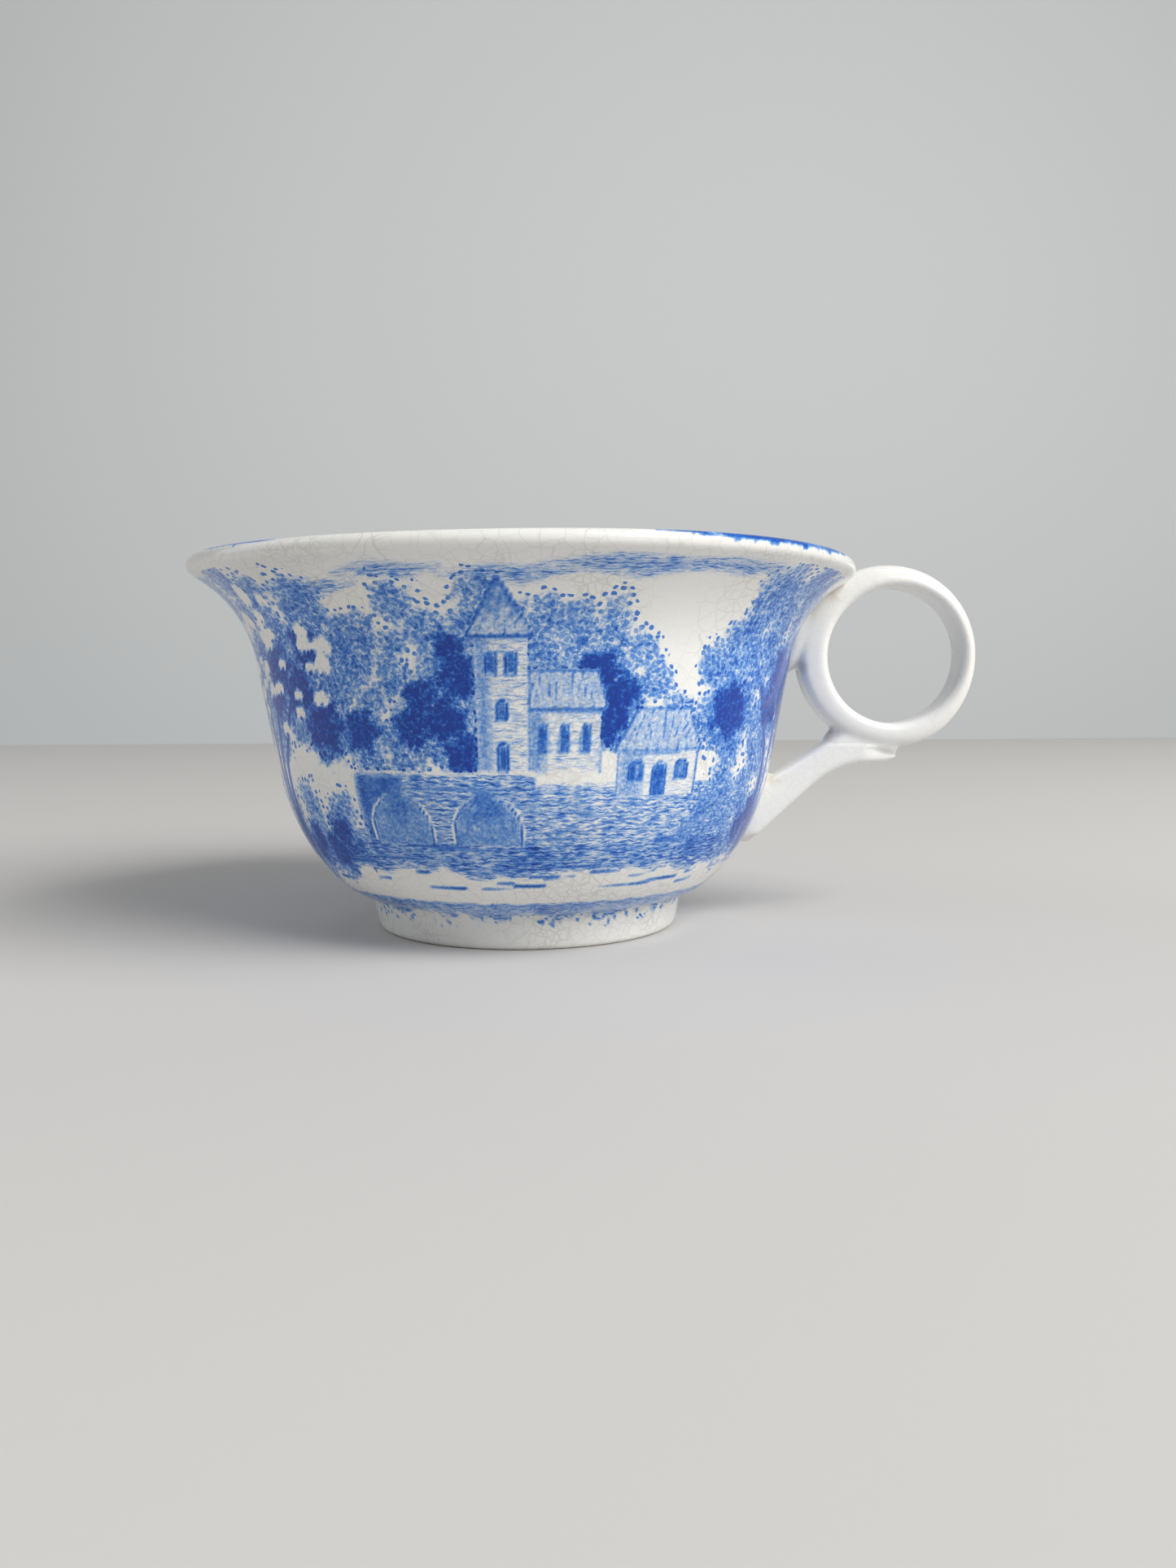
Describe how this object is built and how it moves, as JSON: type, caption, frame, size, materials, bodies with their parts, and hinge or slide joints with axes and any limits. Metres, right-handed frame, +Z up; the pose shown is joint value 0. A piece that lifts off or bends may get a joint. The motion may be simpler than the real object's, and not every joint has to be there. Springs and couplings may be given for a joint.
{
  "type": "teacup",
  "caption": "Round footed teacup with a flared lip and a ring handle on a forked stem with a small spur, with a printed landscape round the bowl.",
  "frame": {"origin": "on the cup's axis, in the plane that the foot stands on", "axes": "+Z up along the cup's axis, +X towards the handle, -Y towards the printed front"},
  "size_m": [0.1238, 0.1022, 0.0571],
  "materials": {
    "printed_glaze": "blue underglaze print on warm white earthenware under a clear, finely crazed gloss glaze",
    "white_glaze": "warm white earthenware under a clear gloss glaze"
  },
  "bodies": {
    "root": {"bowl": "printed_glaze", "foot_ring": "printed_glaze", "handle_ring": "white_glaze", "handle_stem": "white_glaze", "upper_slip_joint": "white_glaze", "lower_slip_joint": "white_glaze", "fork_slip_joint": "white_glaze"}
  },
  "joints": []
}
